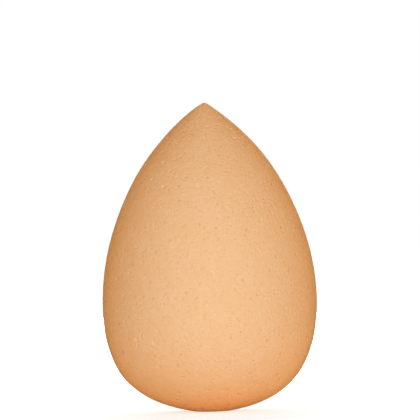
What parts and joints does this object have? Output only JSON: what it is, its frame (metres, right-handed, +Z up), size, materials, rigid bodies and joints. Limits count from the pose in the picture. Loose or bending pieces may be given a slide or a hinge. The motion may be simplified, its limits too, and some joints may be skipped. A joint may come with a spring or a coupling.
{
  "type": "makeup sponge",
  "caption": "Teardrop-shaped soft foam sponge with a broad rounded base and a pointed tip, for dabbing on and blending make-up.",
  "frame": {"origin": "middle of the small flat foot that the sponge stands on, at the bottom of its round base", "axes": "+Z up along the sponge's round axis, from the foot to the tip; X and Y are alike, because the sponge is round"},
  "size_m": [0.0414, 0.0414, 0.06],
  "materials": {
    "foam": "matte"
  },
  "bodies": {
    "root": {"foam_body": "foam"}
  },
  "joints": []
}
